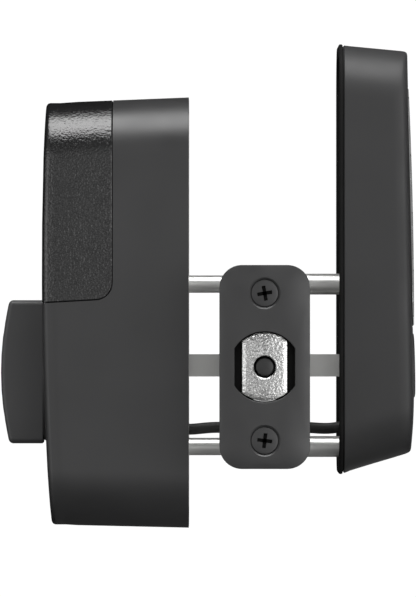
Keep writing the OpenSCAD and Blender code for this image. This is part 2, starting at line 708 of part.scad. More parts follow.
module gear_motor() color([0.72, 0.72, 0.7]) translate([0, pinion_y, pinion_z]) union() {
    plate_x(front_x + 12.6, inside - 20.05, -6, 6, -5, 5, 0.8);
    intersection() {
        rod_x(front_x + 4, front_x + 12.7, 6);
        block(front_x + 4, front_x + 13, -6, 6, -5, 5);
    }
    rod_x(inside - 20.1, inside - 17.7, 2);
    rod_x(inside - 20.1, inside - 14.2, 1);
}

module motor_wires() {
    for (s = [-1, 1]) color(s > 0 ? [0.6, 0.05, 0.05] : [0.05, 0.05, 0.05])
        tube(smooth([[front_x + 8, pinion_y - 6, pinion_z + s * 1.6],
        [front_x + 8, pinion_y - 7.6, pinion_z + s * 1.6],
        [front_x + 9.5, pinion_y - 11.6, pinion_z + 5 + s * 1.4],
        [inside - 28, -29.4, -12 + s], [inside - 23.4 + s * 0.7, -29.6, -1],
        [inside - 18 + s * 0.7, -29.6, 10], [inside - 14 + s * 0.7, -28, 20],
        [inside - 12.6, -22, 26 + s], [inside - 12.6, -15, 27 + s],
        [inside - 12.6, -12, 27 + s]], 3), 0.5, 6);
}

module motor_pinion() color([0.8, 0.68, 0.38]) translate([0, pinion_y, pinion_z]) difference() {
    along_x(inside - 17.4, inside - 13.6) gear(10, 0.6,
        atan2(idler_z - pinion_z, idler_y - pinion_y) - 18);
    rod_x(inside - 18, inside - 13, 1.02);
}

module idler_gear() color([0.9, 0.9, 0.88]) translate([0, idler_y, idler_z]) difference() {
    union() {
        along_x(inside - 13.5, inside - 8) gear(12, 0.8, atan2(-idler_z, -idler_y) - 15);
        along_x(inside - 17, inside - 13.4) gear(36, 0.6,
            atan2(pinion_z - idler_z, pinion_y - idler_y));
    }
    rod_x(inside - 18, inside - 7, 1.5);
}

module idler_axle() color([0.66, 0.67, 0.68]) rod_x(inside - 19.9, inside - 3.2, 1.45, idler_y,
    idler_z);

module drive_gear() color([0.9, 0.9, 0.88]) difference() {
    union() {
        along_x(inside - 12.8, inside - 8.8) gear(45, 0.8, atan2(idler_z, idler_y));
        rod_x(inside - 14.5, inside - 7.5, 8);
    }
    rod_x(inside - 15, inside - 7, 5.02);
    for (i = [0:5]) rotate([i * 60, 0, 0]) rod_x(inside - 14, inside - 8, 2.6, 12);
}

module gearbox_plate() color([0.13, 0.13, 0.14]) difference() {
    union() {
        plate_x(inside - 20, inside - 18, -31.5, 11, -34.5, 13, 4);
        for (p = gear_posts) rod_x(inside - 18.1, inside - 2.1, 2.6, p[0], p[1]);
    }
    rod_x(inside - 21, inside - 17, 5.05);
    rod_x(inside - 21, inside - 17, 1.47, idler_y, idler_z);
    rod_x(inside - 21, inside - 17, 2.1, pinion_y, pinion_z);
    for (p = gear_posts) rod_x(inside - 10, inside - 1, 1.25, p[0], p[1]);
    block(inside - 21, inside - 17, -33, -27.4, 1, 14);
}

// ---------------------------------------------------------------- thumbturn

module thumbturn_shaft() color([0.66, 0.67, 0.68]) difference() {
    rod_x(tip_x + 4.5, inside - 3.2, 5);
    block(inside - 17, inside - 3, -1.3, 1.3, -3.3, 3.3);
    block(tip_x + 4, front_x - 1, -5, 5, -6, -4.4);
}

module thumbturn() color([0.1, 0.1, 0.105]) difference() {
    translate([0, 0, -turn_drop]) intersection() {
        plate_x(tip_x - 1, front_x - 0.28, -turn_width / 2, turn_width / 2, -turn_length / 2,
            turn_length / 2, 1.5);
        along_y(-60, 60) translate([tip_x + 85, 0]) circle(85, $fn = 256);
        translate([0, 0, -60]) linear_extrude(120) polygon([[front_x, -turn_width / 2],
            [tip_x + 1.4, -turn_width / 2], [tip_x, -turn_width / 2 + 1.4],
            [tip_x, turn_width / 2 - 1.4], [tip_x + 1.4, turn_width / 2],
            [front_x, turn_width / 2]]);
    }
    rod_x(tip_x + 4.3, front_x, 5.03);
    rod_z(-turn_length, 0, 1.53, tip_x + 7.6, 0);
}

module thumbturn_screw() color([0.2, 0.2, 0.21]) translate([tip_x + 7.6, 0, 0]) difference() {
    rod_z(-turn_length / 2 - turn_drop + 0.6, -4.5, 1.5);
    translate([0, 0, -turn_length / 2 - turn_drop]) cylinder(h = 2.4, r = 0.85, $fn = 6);
}

module turn_bushing() color([0.85, 0.84, 0.8]) difference() {
    union() {
        rod_x(front_x + 0.2, front_x + 4.6, 7.9);
        rod_x(front_x + 3.2, front_x + 4.6, 10);
    }
    rod_x(front_x - 1, front_x + 6, 5.06);
}

outer_seal();
outer_back_plate();
outer_plate_screws();
outer_housing();
keypad_lens();
key_1();
key_2();
key_3();
key_4();
key_5();
key_6();
key_7();
key_8();
key_9();
key_lock();
key_0();
key_enter();
keypad_mat();
keypad_board();
board_screws();
cylinder_shell();
cylinder_plug();
key_pins();
driver_pins();
cylinder_screws();
tailpiece();
through_bolts();
link_cable();
link_plugs();
face_plate();
latch_backing_plate();
latch_tube();
bolt();
bolt_pin();
bolt_bar();
latch_cage();
latch_cam();
detent_spring();
face_screws();
inner_plate();
inner_housing();
battery_cover();
battery_tray();
batteries();
battery_contacts();
control_board();
radio_module();
position_sensor();
gear_motor();
motor_wires();
motor_pinion();
idler_gear();
idler_axle();
drive_gear();
gearbox_plate();
thumbturn_shaft();
thumbturn();
thumbturn_screw();
turn_bushing();
housing_screws();
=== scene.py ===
"""Keypad smart lock: the looks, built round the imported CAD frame.

Sizes are in millimetres here and turned to metres as each mesh is made.
+Z is up, +X points away from the outside of the door and -Y to the edge of the door.
"""

import json
from math import atan2, cos, hypot, pi, radians, sin, sqrt, tan

import bmesh
import bpy
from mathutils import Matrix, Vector


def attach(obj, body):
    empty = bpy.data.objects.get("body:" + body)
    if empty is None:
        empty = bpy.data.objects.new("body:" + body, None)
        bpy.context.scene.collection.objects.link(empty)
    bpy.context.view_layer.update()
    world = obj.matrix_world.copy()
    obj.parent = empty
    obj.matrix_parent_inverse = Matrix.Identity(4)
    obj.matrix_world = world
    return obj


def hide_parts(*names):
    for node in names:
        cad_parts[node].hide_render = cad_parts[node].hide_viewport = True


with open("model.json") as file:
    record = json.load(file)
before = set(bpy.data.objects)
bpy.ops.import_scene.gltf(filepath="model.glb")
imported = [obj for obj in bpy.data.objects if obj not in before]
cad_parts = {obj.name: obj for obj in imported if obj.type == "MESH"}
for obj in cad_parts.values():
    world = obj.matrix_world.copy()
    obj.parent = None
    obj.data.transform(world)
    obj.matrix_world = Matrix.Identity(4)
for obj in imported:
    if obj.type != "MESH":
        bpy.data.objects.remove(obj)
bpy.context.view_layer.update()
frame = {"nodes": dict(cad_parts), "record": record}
NODES = frame["nodes"]
MM = 0.001

# Driving sizes, the same as the CAD part's.
DOOR = 42.7
EDGE = -60.0
OUTER_W, OUTER_TOP, OUTER_LOW, OUTER_R = 64.0, 91.3, -30.55, 14.5
OUTER_DEPTH, LEAN, SEAL, CROWN = 20.6, radians(1.15), 1.1, 1.15
LENS_W, LENS_H, LENS_R, LENS_CROWN, LENS_EDGE = 54.0, 68.0, 9.0, 1.65, 0.6
LENS_Z = 50.3
CYLINDER_R = 9.5
KEY_W, KEY_H, PITCH_Y, PITCH_Z, KEY_RISE = 14.0, 13.0, 17.0, 16.4, -0.04
LATCH_X = -DOOR / 2
BOLT_W, BOLT_H = 12.7, 19.05
INSIDE = -DOOR
FRONT = INSIDE - 41.6
INNER_W, INNER_TOP, INNER_LOW, INNER_R = 70.0, 76.45, -46.1, 16.0
SEAM, FOOT = INSIDE - 21.5, 17.8
TIP, TURN_W, TURN_L, TURN_DROP = INSIDE - 53.8, 15.0, 41.0, 1.8
CELL_PITCH, CELL_X = 14.4, SEAM - 9.5


# ---------------------------------------------------------------- materials

def material(name, color, rough, metallic=0.0, coat=0.0, coat_rough=0.1, tint=0.0, tint_scale=60.0,
             rough_vary=0.06, grains=((1800.0, 0.1),), bump=0.00002, specular=0.5, detail=3.0):
    """A procedural finish: slow colour and roughness changes, and fine grain as bump."""
    m = bpy.data.materials.new(name)
    m.use_nodes = True
    t = m.node_tree
    shader = t.nodes["Principled BSDF"]
    shader.inputs["Metallic"].default_value = metallic
    shader.inputs["Coat Weight"].default_value = coat
    shader.inputs["Coat Roughness"].default_value = coat_rough
    shader.inputs["Specular IOR Level"].default_value = specular
    where = t.nodes.new("ShaderNodeTexCoord").outputs["Object"]

    def noise(scale, fine):
        n = t.nodes.new("ShaderNodeTexNoise")
        n.inputs["Scale"].default_value = scale
        n.inputs["Detail"].default_value = fine
        t.links.new(where, n.inputs["Vector"])
        return n.outputs["Fac"]

    def spread(source, low, high):
        r = t.nodes.new("ShaderNodeMapRange")
        r.inputs["From Min"].default_value, r.inputs["From Max"].default_value = 0.3, 0.7
        r.inputs["To Min"].default_value, r.inputs["To Max"].default_value = low, high
        t.links.new(source, r.inputs["Value"])
        return r.outputs["Result"]

    slow = noise(tint_scale, detail)
    ramp = t.nodes.new("ShaderNodeValToRGB")
    ramp.color_ramp.elements[0].position, ramp.color_ramp.elements[1].position = 0.3, 0.7
    ramp.color_ramp.elements[0].color = [c * (1 - tint) for c in color] + [1]
    ramp.color_ramp.elements[1].color = [min(1, c * (1 + tint)) for c in color] + [1]
    t.links.new(slow, ramp.inputs["Fac"])
    t.links.new(ramp.outputs["Color"], shader.inputs["Base Color"])
    t.links.new(spread(noise(tint_scale * 2.7, 2.0), rough - rough_vary, rough + rough_vary),
                shader.inputs["Roughness"])
    last = None
    for scale, strength in grains:
        b = t.nodes.new("ShaderNodeBump")
        b.inputs["Strength"].default_value = strength
        b.inputs["Distance"].default_value = bump
        t.links.new(noise(scale, 2.0), b.inputs["Height"])
        if last:
            t.links.new(last, b.inputs["Normal"])
        last = b.outputs["Normal"]
    t.links.new(last, shader.inputs["Normal"])
    return m


LOOKS = {
    "inner_metal": material("inner_metal", (0.0225, 0.0225, 0.023), 0.42, tint=0.08, tint_scale=25,
                            grains=((2600, 0.35), (900, 0.15))),
    # Painted light: the housing's black metal made lighter for the thumbturn, to make up for the shade
    # the housing casts on it.
    "turn_metal_with_painted_light": material("turn_metal_with_painted_light", (0.042, 0.042, 0.043), 0.45, tint=0.08, tint_scale=25,
                           grains=((2600, 0.35), (900, 0.15))),
    "black_metal": material("black_metal", (0.0275, 0.0275, 0.028), 0.5, tint=0.08, tint_scale=25,
                            specular=0.32, grains=((2600, 0.35), (900, 0.15))),
    "seal_rubber": material("seal_rubber", (0.005, 0.005, 0.005), 0.8, tint=0.15,
                            specular=0.15, grains=((1500, 0.3),)),
    "panel_gloss": material("panel_gloss", (0.008, 0.008, 0.009), 0.12, coat=0.6, coat_rough=0.05,
                            tint=0.05, rough_vary=0.02, grains=((300, 0.03),)),
    "key_gloss": material("key_gloss", (0.011, 0.011, 0.012), 0.2, coat=0.4, coat_rough=0.08,
                          tint=0.05, rough_vary=0.03, grains=((900, 0.05),)),
    "figure_print": material("figure_print", (0.62, 0.63, 0.64), 0.5, tint=0.03),
    "mat_silicone": material("mat_silicone", (0.5, 0.52, 0.54), 0.6, tint=0.05),
    "board_green": material("board_green", (0.02, 0.13, 0.055), 0.35, tint=0.25, tint_scale=400),
    "steel": material("steel", (0.58, 0.58, 0.57), 0.36, metallic=0.75, tint=0.05, tint_scale=60,
                      rough_vary=0.03, grains=((2200, 0.1),)),
    "zinc_cast": material("zinc_cast", (0.56, 0.56, 0.555), 0.22, metallic=1, tint=0.28,
                          tint_scale=1900, rough_vary=0.05, grains=((1700, 1.0), (800, 0.3)),
                          bump=0.00016),
    "dark_steel": material("dark_steel", (0.1, 0.1, 0.1), 0.38, metallic=1, tint=0.1,
                           grains=((1500, 0.25),)),
    "brass": material("brass", (0.72, 0.52, 0.22), 0.28, metallic=1, tint=0.06, tint_scale=200),
    "black_satin": material("black_satin", (0.0255, 0.0255, 0.026), 0.4, tint=0.08, tint_scale=60,
                            grains=((2400, 0.3),)),
    "black_plastic": material("black_plastic", (0.022, 0.022, 0.023), 0.5, tint=0.08,
                              grains=((1600, 0.3),)),
    "cover_plastic": material("cover_plastic", (0.0085, 0.0085, 0.0087), 0.15, tint=0.1,
                              rough_vary=0.02, grains=((1800, 1.0), (1100, 0.3)), bump=0.00014,
                              specular=0.7),
    # Painted shade: a near-black finish for pieces that stand for the shade in gaps, holes and
    # recesses.
    "painted_shade_black": material("painted_shade_black", (0.003, 0.003, 0.003), 0.7, specular=0.08, tint=0.1),
    "pin_steel": material("pin_steel", (0.035, 0.035, 0.035), 0.45, metallic=0.6, tint=0.1,
                          grains=((1500, 0.25),)),
    "white_plastic": material("white_plastic", (0.72, 0.72, 0.69), 0.4, tint=0.03),
    "cord_black": material("cord_black", (0.018, 0.018, 0.018), 0.55, tint=0.1),
    "wire_jacket": material("wire_jacket", (0.35, 0.02, 0.02), 0.4, tint=0.05),
    "wire_black": material("wire_black", (0.015, 0.015, 0.015), 0.4, tint=0.05),
    "cell_sleeve": material("cell_sleeve", (0.42, 0.24, 0.05), 0.3, coat=0.3, tint=0.06),
    "cell_black": material("cell_black", (0.012, 0.012, 0.013), 0.3, coat=0.3, tint=0.06),
    "contact_nickel": material("contact_nickel", (0.72, 0.71, 0.68), 0.2, metallic=1, tint=0.04),
    "shield_tin": material("shield_tin", (0.66, 0.67, 0.68), 0.3, metallic=1, tint=0.05),
}


# ---------------------------------------------------------------- meshes

def finish_mesh(name, bm, look, body, stands_for=(), smooth=38, bevel=0.0, segments=2):
    """bm, in millimetres, becomes a piece that rides on a body."""
    bmesh.ops.remove_doubles(bm, verts=bm.verts, dist=0.0005)
    bmesh.ops.recalc_face_normals(bm, faces=bm.faces)
    bmesh.ops.scale(bm, vec=(MM, MM, MM), verts=bm.verts)
    mesh = bpy.data.meshes.new(name)
    bm.to_mesh(mesh)
    bm.free()
    mesh.shade_smooth()
    mesh.set_sharp_from_angle(angle=radians(smooth))
    o = bpy.data.objects.new(name, mesh)
    bpy.context.scene.collection.objects.link(o)
    mesh.materials.append(LOOKS[look])
    if bevel:
        add_bevel(o, bevel, segments)
    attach(o, body)
    if stands_for:
        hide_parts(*stands_for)
    return o


def add_bevel(o, width, segments=2, angle=40, harden=True):
    b = o.modifiers.new("edges", "BEVEL")
    b.width = width * MM
    b.segments = segments
    b.limit_method = "ANGLE"
    b.angle_limit = radians(angle)
    b.harden_normals = harden
    return b


def even_out(o):
    """Lets the large faces decide the shading, so that flat faces look flat."""
    m = o.modifiers.new("even", "WEIGHTED_NORMAL")
    m.mode, m.weight, m.keep_sharp = "FACE_AREA", 50, True


def loft(bm, rings, closed=True):
    """Quads between rings of the same number of points. Returns the rings' vertices."""
    made = [[bm.verts.new(p) for p in ring] for ring in rings]
    n = len(made[0])
    for a, b in zip(made, made[1:]):
        for i in range(n if closed else n - 1):
            j = (i + 1) % n
            bm.faces.new((a[i], a[j], b[j], b[i]))
    return made


def fill(bm, *loops):
    """A flat face with holes, between loops of vertices."""
    edges = []
    for loop in loops:
        for a, b in zip(loop, loop[1:] + loop[:1]):
            edges.append(bm.edges.get((a, b)) or bm.edges.new((a, b)))
    made = bmesh.ops.triangle_fill(bm, edges=edges, use_beauty=True)
    return [f for f in made["geom"] if isinstance(f, bmesh.types.BMFace)]


def slice_faces(bm, faces, planes):
    """Cuts some of a mesh's faces along planes (point, normal). Returns their vertices."""
    for point, normal in planes:
        geom = set(faces)
        for f in faces:
            geom.update(f.edges)
            geom.update(f.verts)
        done = bmesh.ops.bisect_plane(bm, geom=list(geom), plane_co=point, plane_no=normal, dist=1e-4)
        faces = {f for f in done["geom"] if isinstance(f, bmesh.types.BMFace)} | {
            f for f in faces if f.is_valid}
    return {v for f in faces for v in f.verts}


def rounded(y0, y1, z0, z1, r, n=10, rows=()):
    """Points (y, z) of a rounded rectangle. rows adds points on its two straight sides."""
    r = max(r, 0.01)
    out = []
    for k, (cy, cz) in enumerate(((y1 - r, z1 - r), (y0 + r, z1 - r), (y0 + r, z0 + r),
                                  (y1 - r, z0 + r))):
        for i in range(n + 1):
            a = pi / 2 * (k + i / n)
            out.append((cy + r * cos(a), cz + r * sin(a)))
        if k == 1:
            out += [(y0, z) for z in sorted(rows, reverse=True)]
    return out + [(y1, z) for z in sorted(rows)]


def circle(r, cy=0.0, cz=0.0, n=64):
    return [(cy + r * cos(2 * pi * i / n), cz + r * sin(2 * pi * i / n)) for i in range(n)]


def lathe(bm, profile, turn, n=64):
    """Revolves (along, radius) points; turn(along, a, b) places a point from across values."""
    rings = [[turn(s, r * cos(2 * pi * i / n), r * sin(2 * pi * i / n)) for i in range(n)]
             for s, r in profile]
    made = loft(bm, rings)
    for ring in (made[0], made[-1]):
        bm.faces.new(ring)
    return made


def cut(o, cutter, kind="DIFFERENCE"):
    """Applies a boolean and throws the cutter away."""
    b = o.modifiers.new("cut", "BOOLEAN")
    b.operation, b.object, b.solver = kind, cutter, "EXACT"
    deps = bpy.context.evaluated_depsgraph_get()
    deps.update()
    mesh = bpy.data.meshes.new_from_object(o.evaluated_get(deps))
    o.modifiers.remove(b)
    old = o.data
    o.data = mesh
    mesh.name = old.name
    bpy.data.meshes.remove(old)
    bpy.data.objects.remove(cutter)


def solid(bm):
    """A loose object for cutting with, from a mesh in millimetres."""
    bmesh.ops.remove_doubles(bm, verts=bm.verts, dist=0.0005)
    bmesh.ops.recalc_face_normals(bm, faces=bm.faces)
    bmesh.ops.scale(bm, vec=(MM, MM, MM), verts=bm.verts)
    mesh = bpy.data.meshes.new("cutter")
    bm.to_mesh(mesh)
    bm.free()
    o = bpy.data.objects.new("cutter", mesh)
    bpy.context.scene.collection.objects.link(o)
    return o


def prism(outline, place, a, b):
    """A prism between place(p, a) and place(p, b) of a closed outline, for cutting."""
    bm = bmesh.new()
    made = loft(bm, [[place(p, a) for p in outline], [place(p, b) for p in outline]])
    bm.faces.new(made[0])
    bm.faces.new(made[1])
    return bm


def crease(o, smooth=38):
    o.data.shade_smooth()
    o.data.set_sharp_from_angle(angle=radians(smooth))


def tube(name, points, radius, look, body, stands_for=(), sides=5):
    """A round cord or wire through points, in millimetres."""
    c = bpy.data.curves.new(name, "CURVE")
    c.dimensions = "3D"
    s = c.splines.new("BEZIER")
    s.bezier_points.add(len(points) - 1)
    for b, p in zip(s.bezier_points, points):
        b.co = [v * MM for v in p]
        b.handle_left_type = b.handle_right_type = "AUTO"
    c.bevel_depth = radius * MM
    c.bevel_resolution = sides
    c.resolution_u = 8
    c.use_fill_caps = True
    c.materials.append(LOOKS[look])
    o = bpy.data.objects.new(name, c)
    bpy.context.scene.collection.objects.link(o)
    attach(o, body)
    if stands_for:
        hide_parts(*stands_for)
    return o


# ---------------------------------------------------------------- outside unit

def face_x(z):
    """The leaning front plane of the outside housing."""
    return OUTER_DEPTH - (z + 5) * tan(LEAN)


def skin_x(y, z):
    """The housing's front: leaning, crowned across, and falling back near the bottom."""
    return face_x(z) + CROWN * (1 - (2 * y / OUTER_W) ** 2) - 0.0034 * max(0, -5 - z) ** 2


def outer_outline(x, inset, n=14):
    top = OUTER_TOP - 0.0945 * (x - SEAL)
    low = OUTER_LOW + 0.319 * (x - SEAL)
    half = OUTER_W / 2
    return rounded(-half + inset, half - inset, low + inset, top - inset, OUTER_R - inset, n)


def outer_housing():
    bm = bmesh.new()
    fillet, wall, thick = 2.0, 2.5, 2.4
    rings = [[(SEAL, y, z) for y, z in outer_outline(SEAL, 0.5)],
             [(SEAL + 0.5, y, z) for y, z in outer_outline(SEAL, 0.0)]]
    soft, tilt = 2.6, radians(11)
    drawn = soft * tan(tilt) / 2
    for i in range(1, 7):
        u = i / 6
        x = SEAL + u * (19.6 - fillet - soft - SEAL)
        rings.append([(SEAL + u * (skin_x(y, z) - fillet - soft - SEAL), y, z)
                      for y, z in outer_outline(x, 0)])
    edge = zip(outer_outline(19.6, 0), outer_outline(18.6, 0), outer_outline(19.6, 1))
    edge = [(y, z, y1 - y, z1 - z, y2 - y, z2 - z) for (y, z), (y1, z1), (y2, z2) in edge]

    def rounding(back, inset):
        """A ring of the rounded edge, which is tighter at the top and the bottom."""
        ring = []
        for y, z, back_y, back_z, in_y, in_z in edge:
            share = 0.42 + 0.58 * in_y ** 2
            y += (back_y * back + in_y * inset) * share
            z += (back_z * back + in_z * inset) * share
            ring.append((skin_x(y, z) - back * share, y, z))
        return ring

    for i in range(1, 5):
        rings.append(rounding(fillet * (1 - sin(tilt)) + soft * (1 - i / 4),
                              drawn * (i / 4) ** 2))
    for i in range(1, 11):
        a = tilt + (pi / 2 - tilt) * i / 10
        rings.append(rounding(fillet * (1 - sin(a)), drawn + fillet * (cos(tilt) - cos(a))))
    skin = loft(bm, rings)
    inner = loft(bm, [[(SEAL, y, z) for y, z in outer_outline(SEAL, wall)],
                      [(face_x(z) - thick, y, z) for y, z in outer_outline(17, wall)]])
    for i in range(len(skin[0])):
        bm.faces.new((skin[0][i - 1], skin[0][i], inner[0][i], inner[0][i - 1]))
    holes = [rounded(-LENS_W / 2 - 0.25, LENS_W / 2 + 0.25, LENS_Z - 5 - LENS_H / 2 - 0.25,
                     LENS_Z - 5 + LENS_H / 2 + 0.25, LENS_R + 0.25), circle(CYLINDER_R + 0.25)]
    front, back = [skin[-1]], [inner[-1]]
    for hole in holes:
        walls = loft(bm, [[(skin_x(y, z), y, z) for y, z in hole],
                          [(face_x(z) - thick, y, z) for y, z in hole]])
        front.append(walls[0])
        back.append(walls[1])
    planes = [((0, y, 0), (0, 1, 0)) for y in range(-27, 28, 3)]
    planes += [((0, 0, z), (0, 0, 1)) for z in (-25, -22, -19, -16, -13, -10, -7, -4, 0, 5, 10)]
    for v in slice_faces(bm, set(fill(bm, *front)), planes):
        v.co.x = skin_x(v.co.y, v.co.z)
    fill(bm, *back)
    return finish_mesh("housing_outside", bm, "black_metal", "base", ["outer_housing"], 30,
                       bevel=0.15)


def outer_seal():
    """A rubber ring with rounded lips."""
    bm = bmesh.new()
    section = [(0, 0.35), (0.1, 0.1), (0.35, 0), (0.75, 0), (1.0, 0.1), (SEAL, 0.35),
               (SEAL, 3.4), (0, 3.4)]
    half = OUTER_W / 2 + 0.2
    rings = [[(x, y, z) for y, z in rounded(-half + i, half - i, OUTER_LOW - 0.3 + i,
                                            OUTER_TOP + 0.3 - i, OUTER_R - i, 14)]
             for x, i in section + section[:1]]
    loft(bm, rings)
    return finish_mesh("seal_ring", bm, "seal_rubber", "base", ["outer_seal"], 50)


# ---------------------------------------------------------------- keypad

def on_face(out, y, up):
    """A point given out of the leaning face, across, and up along it."""
    return (OUTER_DEPTH + out * cos(LEAN) - up * sin(LEAN), y,
            -5 + out * sin(LEAN) + up * cos(LEAN))


def crown(y, up):
    """How far the panel stands out: crowned across, and bowed a little along its height."""
    return (LENS_CROWN - (LENS_CROWN - LENS_EDGE) * (2 * y / LENS_W) ** 2 + 0.22
            - 0.5 * ((up - 46) / 38) ** 2)


def keypad_lens():
    bm = bmesh.new()
    low, high = LENS_Z - LENS_H / 2, LENS_Z + LENS_H / 2

    def outline(inset):
        return rounded(-LENS_W / 2 + inset, LENS_W / 2 - inset, low + inset, high - inset,
                       LENS_R - inset, 10)

    rings = [[on_face(-2.6, y, z) for y, z in outline(2)],
             [on_face(-2.6, y, z) for y, z in outline(0)],
             [on_face(crown(y, z) - 0.4, y, z) for y, z in outline(0)]]
    for i in range(1, 6):
        a = pi / 2 * i / 5
        rings.append([on_face(crown(y, z) - 0.4 * (1 - sin(a)), y, z)
                      for y, z in outline(0.4 * (1 - cos(a)))])
    skin = loft(bm, rings)
    # Painted shade: the panel's side and the start of its rounded edge take the near-black finish, a
    # dark line for the shade where the panel meets the housing.
    round_it = len(rings[0])
    for f in list(bm.faces)[round_it:4 * round_it]:
        f.material_index = 1
    bm.faces.new(skin[0])
    top = bm.faces.new(skin[-1])
    planes = [((0, -25.5 + 3 * i, 0), (0, 1, 0)) for i in range(18)]
    planes += [((0, 0, low - 1 + 5 * i), (0, 0, 1)) for i in range(14)]
    for v in slice_faces(bm, {top}, planes):
        up = -(v.co.x - OUTER_DEPTH) * sin(LEAN) + (v.co.z + 5) * cos(LEAN)
        v.co = on_face(crown(v.co.y, up), v.co.y, up)
    o = finish_mesh("panel_keypad", bm, "panel_gloss", "base", ["keypad_lens"], 30)
    o.data.materials.append(LOOKS["painted_shade_black"])
    for column in (-1, 0, 1):
        for row in range(4):
            y, z = column * PITCH_Y, LENS_Z + (1.5 - row) * PITCH_Z
            hole = rounded(y - KEY_W / 2 - 0.25, y + KEY_W / 2 + 0.25, z - KEY_H / 2 - 0.25,
                           z + KEY_H / 2 + 0.25, 2.75, 8)
            cut(o, solid(prism(hole, lambda p, d: on_face(d, *p), -5, 4)))
    crease(o, 30)
    add_bevel(o, 0.15, 2, 50)
    return o


FIGURES = {"key_1": "1", "key_2": "2", "key_3": "3", "key_4": "4", "key_5": "5", "key_6": "6",
           "key_7": "7", "key_8": "8", "key_9": "9", "key_0": "0"}
KEYS = ["key_1", "key_2", "key_3", "key_4", "key_5", "key_6", "key_7", "key_8", "key_9",
        "key_lock", "key_0", "key_enter"]


def key_place(index):
    return (index % 3 - 1) * PITCH_Y, LENS_Z + (1.5 - index // 3) * PITCH_Z


def key_cap(name, index):
    """A push key whose top follows the panel's crown, flush with it and slightly dished."""
    cy, cz = key_place(index)
    bm = bmesh.new()

    def outline(inset, r=2.5):
        return rounded(cy - KEY_W / 2 + inset, cy + KEY_W / 2 - inset, cz - KEY_H / 2 + inset,
                       cz + KEY_H / 2 - inset, r - min(inset, 1.9), 8)

    rings = [[on_face(-2.5, y, z) for y, z in outline(-0.6, 2.4)],
             [on_face(-1.6, y, z) for y, z in outline(-0.6, 2.4)],
             [on_face(-1.6, y, z) for y, z in outline(0)],
             [on_face(crown(y, z) + KEY_RISE - 0.35, y, z) for y, z in outline(0)]]
    for i in range(1, 5):
        a = pi / 2 * i / 4
        rings.append([on_face(crown(y, z) + KEY_RISE - 0.35 * (1 - sin(a)), y, z)
                      for y, z in outline(0.35 * (1 - cos(a)))])
    rim = outline(0.35)
    for f in (0.93, 0.8, 0.6, 0.4, 0.2, 0.06):
        dish = 0.22 * (1 - f * f)
        rings.append([on_face(crown(cy + f * (y - cy), cz + f * (z - cz)) + KEY_RISE - dish,
                              cy + f * (y - cy), cz + f * (z - cz)) for y, z in rim])
    made = loft(bm, rings)
    bm.faces.new(made[-1])
    bm.faces.new(made[0])
    return finish_mesh("cap_" + name[4:], bm, "key_gloss", name + "_button", [name], 32)


def printed(name, flat, body):
    """Thin printed figures: flat faces at (across, up) on the panel's crown."""
    bm = bmesh.new()
    for face in flat:
        bm.faces.new([bm.verts.new(p) for p in face])
    return finish_mesh(name, bm, "figure_print", body, (), 60)


def figure(name, index, text):
    """A figure made from the built-in font, laid on its key."""
    cy, cz = key_place(index)
    c = bpy.data.curves.new(name, "FONT")
    c.body = text
    c.size = 7.2
    c.align_x, c.align_y = "CENTER", "CENTER"
    c.resolution_u = 6
    o = bpy.data.objects.new(name, c)
    bpy.context.scene.collection.objects.link(o)
    deps = bpy.context.evaluated_depsgraph_get()
    deps.update()
    mesh = bpy.data.meshes.new_from_object(o.evaluated_get(deps))
    bpy.data.objects.remove(o)
    faces = [[on_print(cy, cz, *mesh.vertices[i].co[:2]) for i in p.vertices]
             for p in mesh.polygons]
    return printed("figure_" + name[4:], faces, name + "_button")


def on_print(cy, cz, across, up):
    """A point just above a key's dished top."""
    f = max(abs(across) / (KEY_W / 2), abs(up) / (KEY_H / 2))
    dish = 0.22 * (1 - f * f)
    return on_face(crown(cy + across, cz + up) + KEY_RISE - dish + 0.03, cy + across, cz + up)


def band(points, width):
    """Quads along an open line of (across, up) points, for simple signs."""
    quads = []
    for (a, b), (c, d) in zip(points, points[1:]):
        length = hypot(c - a, d - b)
        nx, ny = -(d - b) / length * width / 2, (c - a) / length * width / 2
        quads.append([(a + nx, b + ny), (a - nx, b - ny), (c - nx, d - ny), (c + nx, d + ny)])
    return quads


def signs():
    """A tick on the enter key and a padlock on the lock key."""
    tick = band([(-2.3, 0.1), (-0.7, -1.7), (2.5, 2.0)], 0.8)
    shackle = [(1.35 * cos(pi * i / 10), 0.4 + 1.6 * sin(pi * i / 10)) for i in range(11)]
    lock = band(shackle, 0.6) + [[(-2.0, -2.6), (2.0, -2.6), (2.0, 0.4), (-2.0, 0.4)]]
    for name, quads in (("key_enter", tick), ("key_lock", lock)):
        cy, cz = key_place(KEYS.index(name))
        printed("sign_" + name[4:], [[on_print(cy, cz, *p) for p in q] for q in quads],
                name + "_button")


# ---------------------------------------------------------------- key cylinder

def along_x(s, a, b):
    return (s, a, b)


